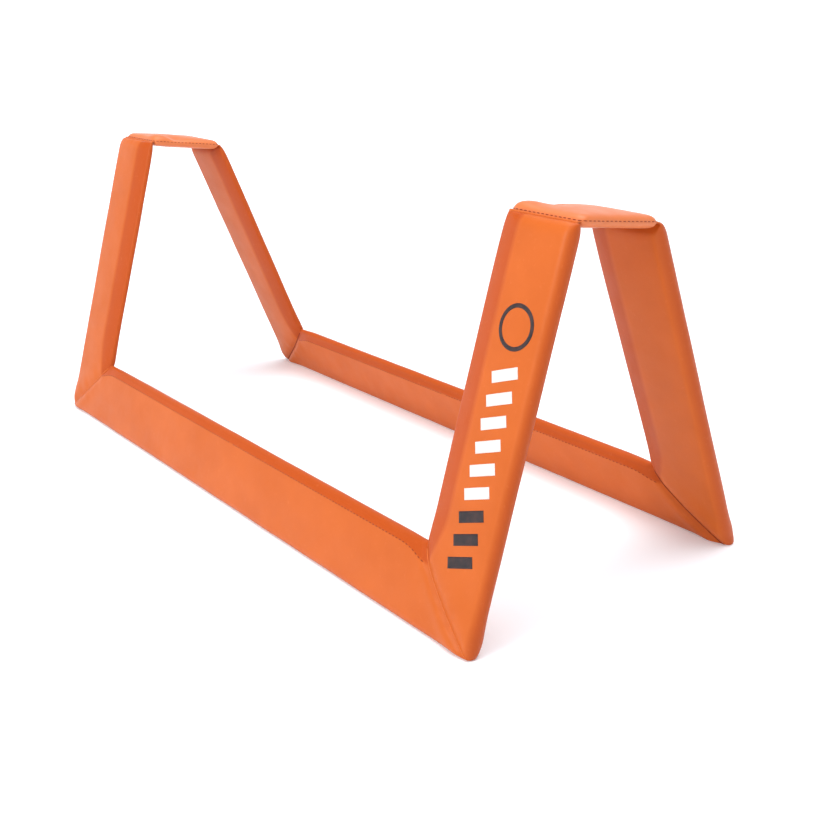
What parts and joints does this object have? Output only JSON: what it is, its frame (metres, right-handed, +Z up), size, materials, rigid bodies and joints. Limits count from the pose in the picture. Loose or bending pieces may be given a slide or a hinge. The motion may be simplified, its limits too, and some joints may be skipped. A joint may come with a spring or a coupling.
{
  "type": "folding hockey training frame",
  "caption": "Low padded vinyl frame for stick and puck drills: U-shaped frames lean together under hinged end caps, stand as an A and open out flat.",
  "frame": {"origin": "on the floor, in the middle of the standing frame's footprint", "axes": "+X along the rails, +Y from the front frame to the back frame, +Z up"},
  "size_m": [0.762, 0.3302, 0.3296],
  "materials": {
    "vinyl": "satin, fine grain",
    "foam": "closed-cell foam, matte",
    "slat": "matte",
    "plate": "mill",
    "rivet": "satin",
    "light_print": "printed ink, satin",
    "dark_print": "printed ink, satin"
  },
  "bodies": {
    "caps": {"left_back_hinge_seam": "vinyl", "left_cap_cover": "vinyl", "left_cap_lower_foam": "foam", "left_cap_slat": "slat", "left_cap_upper_foam": "foam", "left_front_hinge_seam": "vinyl", "right_back_hinge_seam": "vinyl", "right_cap_cover": "vinyl", "right_cap_lower_foam": "foam", "right_cap_slat": "slat", "right_cap_upper_foam": "foam", "right_front_hinge_seam": "vinyl"},
    "front_frame": {"front_dark_print": "dark_print", "front_left_corner_plate": "plate", "front_left_corner_rivets": "rivet", "front_left_leg_cover": "vinyl", "front_left_leg_inner_foam": "foam", "front_left_leg_outer_foam": "foam", "front_left_leg_slat": "slat", "front_light_print": "light_print", "front_rail_cover": "vinyl", "front_rail_inner_foam": "foam", "front_rail_outer_foam": "foam", "front_rail_slat": "slat", "front_right_corner_plate": "plate", "front_right_corner_rivets": "rivet", "front_right_leg_cover": "vinyl", "front_right_leg_inner_foam": "foam", "front_right_leg_outer_foam": "foam", "front_right_leg_slat": "slat"},
    "back_frame": {"back_dark_print": "dark_print", "back_left_corner_plate": "plate", "back_left_corner_rivets": "rivet", "back_left_leg_cover": "vinyl", "back_left_leg_inner_foam": "foam", "back_left_leg_outer_foam": "foam", "back_left_leg_slat": "slat", "back_light_print": "light_print", "back_rail_cover": "vinyl", "back_rail_inner_foam": "foam", "back_rail_outer_foam": "foam", "back_rail_slat": "slat", "back_right_corner_plate": "plate", "back_right_corner_rivets": "rivet", "back_right_leg_cover": "vinyl", "back_right_leg_inner_foam": "foam", "back_right_leg_outer_foam": "foam", "back_right_leg_slat": "slat"}
  },
  "joints": [
    {"name": "front_hinge", "type": "hinge", "parent": "caps", "child": "front_frame", "pos_m": [0, -0.06006, 0.32231], "axis": [-1, 0, 0], "range_deg": [-9.5, 80.5]},
    {"name": "back_hinge", "type": "hinge", "parent": "caps", "child": "back_frame", "pos_m": [0, 0.02823, 0.31111], "axis": [1, 0, 0], "range_deg": [-29.6, 60.4]}
  ]
}
